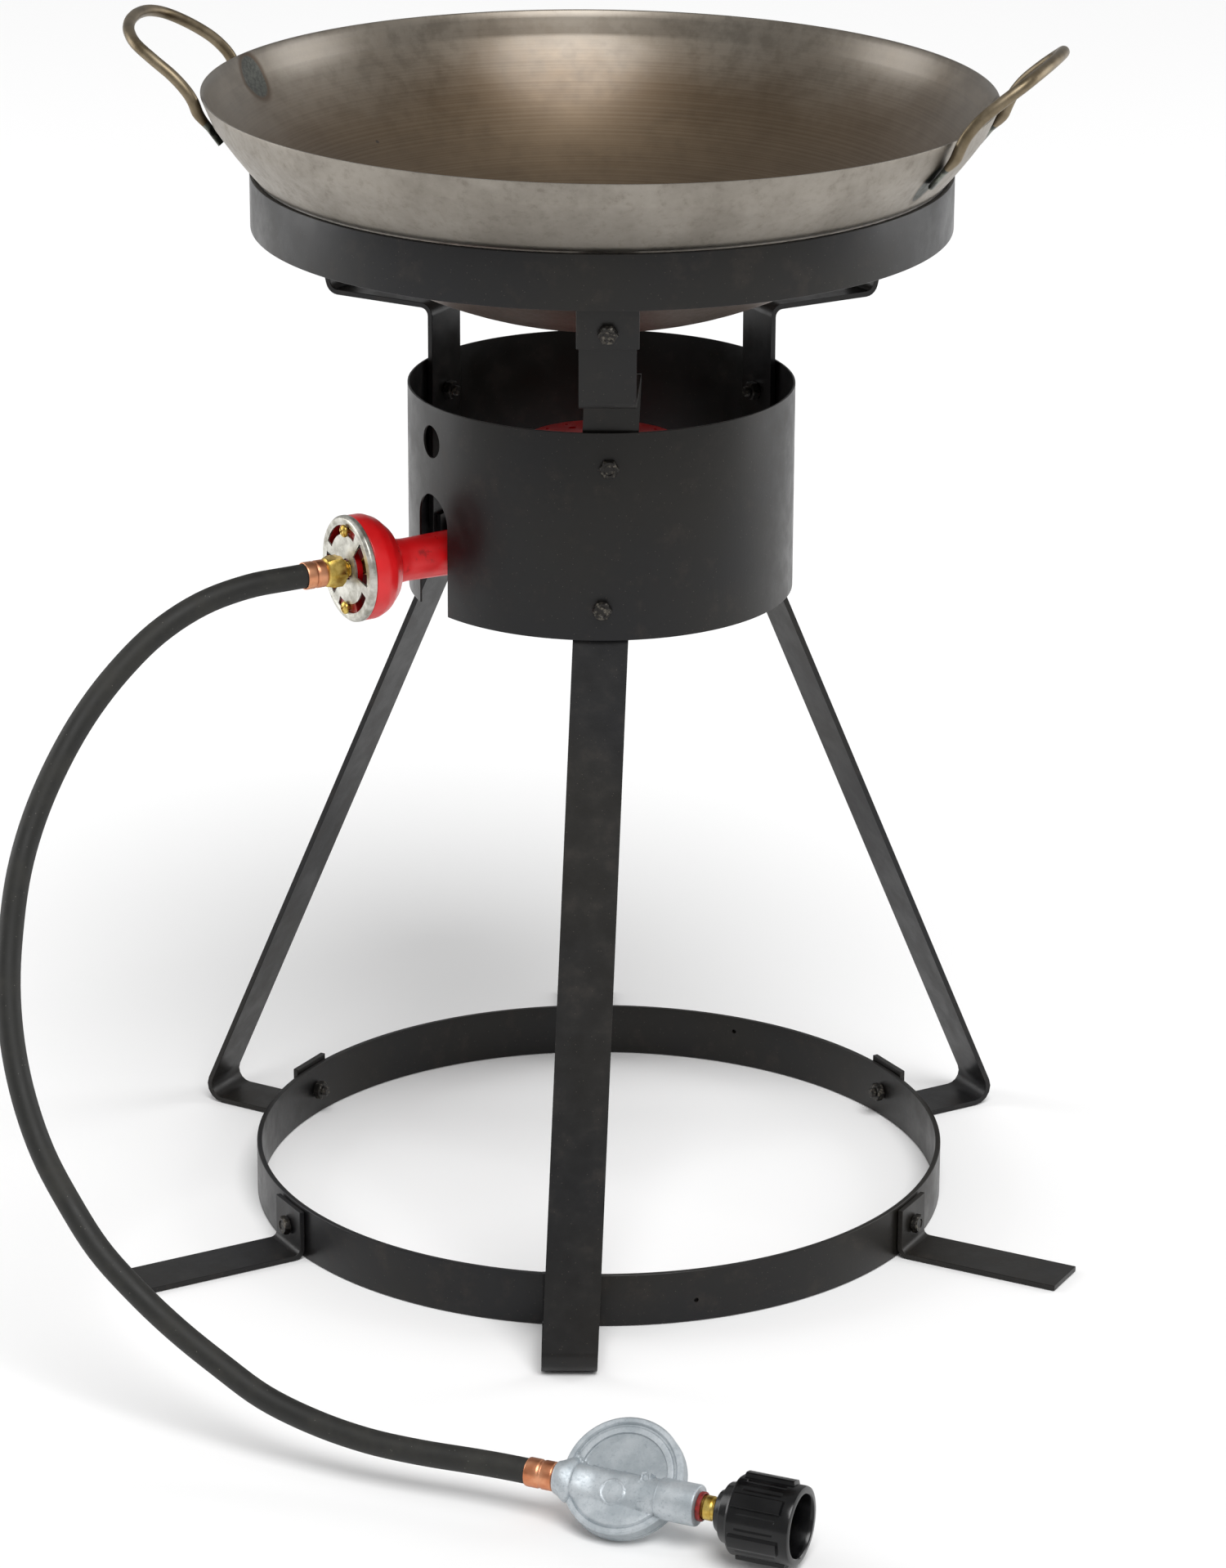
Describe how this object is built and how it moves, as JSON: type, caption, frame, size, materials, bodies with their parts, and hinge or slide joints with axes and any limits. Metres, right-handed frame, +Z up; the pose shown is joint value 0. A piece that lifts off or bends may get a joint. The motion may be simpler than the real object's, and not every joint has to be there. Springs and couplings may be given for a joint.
{
  "type": "propane burner stand",
  "caption": "Free-standing propane burner stand of bent flat bars with a wind guard, cast burner, hose with regulator and a wide wok resting in the top ring.",
  "frame": {"origin": "on the floor, midway between the front and back ends of the stand, under the centre line of the rings in X", "axes": "+Z up; -Y towards the front leg and the viewer; +X to the viewer's right"},
  "size_m": [0.618, 0.8371, 0.7185],
  "materials": {
    "black_paint": "satin",
    "zinc_plate": "satin",
    "red_paint": "semi-gloss",
    "brass": "satin",
    "copper": "satin",
    "hose_rubber": "matte",
    "wok_steel": "oiled",
    "cast_zinc": "cast",
    "spring_steel": "satin",
    "black_plastic": "gloss",
    "red_seal": "matte"
  },
  "bodies": {
    "stand": {"base_bolt_back": "zinc_plate", "base_bolt_front_left": "zinc_plate", "base_bolt_front_right": "zinc_plate", "base_bolt_leg_front": "zinc_plate", "base_bolt_leg_left": "zinc_plate", "base_bolt_leg_right": "zinc_plate", "base_ring": "black_paint", "burner_body": "red_paint", "burner_bolt": "zinc_plate", "burner_bracket": "black_paint", "burner_cap": "red_paint", "foot_back": "black_paint", "foot_front_left": "black_paint", "foot_front_right": "black_paint", "gas_hose": "hose_rubber", "gas_orifice": "brass", "guard_bolt_lower_front": "zinc_plate", "guard_bolt_lower_left": "zinc_plate", "guard_bolt_lower_right": "zinc_plate", "guard_bolt_upper_front": "zinc_plate", "guard_bolt_upper_left": "zinc_plate", "guard_bolt_upper_right": "zinc_plate", "hose_ferrule_burner": "copper", "hose_ferrule_regulator": "copper", "hose_fitting": "brass", "inlet_nipple": "brass", "inlet_seal": "red_seal", "leg_front": "black_paint", "leg_left": "black_paint", "leg_right": "black_paint", "regulator_body": "cast_zinc", "regulator_bonnet": "cast_zinc", "regulator_spring": "spring_steel", "regulator_vent_cap": "black_plastic", "ring_bolt_front": "zinc_plate", "ring_bolt_left": "zinc_plate", "ring_bolt_right": "zinc_plate", "ring_tab_front": "black_paint", "ring_tab_left": "black_paint", "ring_tab_right": "black_paint", "shutter_screw_lower": "brass", "shutter_screw_upper": "brass", "wind_guard": "black_paint", "wok_ring": "black_paint"},
    "wok": {"wok_pan": "wok_steel", "wok_handle_left": "wok_steel", "wok_handle_right": "wok_steel"},
    "air_shutter": {"air_shutter": "zinc_plate"},
    "hand_nut": {"hand_nut": "black_plastic"},
    "diaphragm": {"regulator_diaphragm": "hose_rubber"}
  },
  "joints": [
    {"name": "wok_lift", "type": "slide", "parent": "stand", "child": "wok", "axis": [0, 0, 1], "range_m": [0, 0.15]},
    {"name": "shutter_turn", "type": "hinge", "parent": "stand", "child": "air_shutter", "pos_m": [-0.14593, -0.10225, 0.418], "axis": [-0.866, -0.5, 0], "range_deg": [-59, 19]},
    {"name": "hand_nut_turn", "type": "hinge", "parent": "stand", "child": "hand_nut", "pos_m": [0.0856, -0.51514, 0.0253], "axis": [0.917, -0.399, 0], "continuous": true},
    {"name": "diaphragm_move", "type": "slide", "parent": "stand", "child": "diaphragm", "axis": [-0.2721, -0.6254, 0.7314], "range_m": [-0.0005, 0.0015], "stiffness_N_per_m": 400}
  ]
}
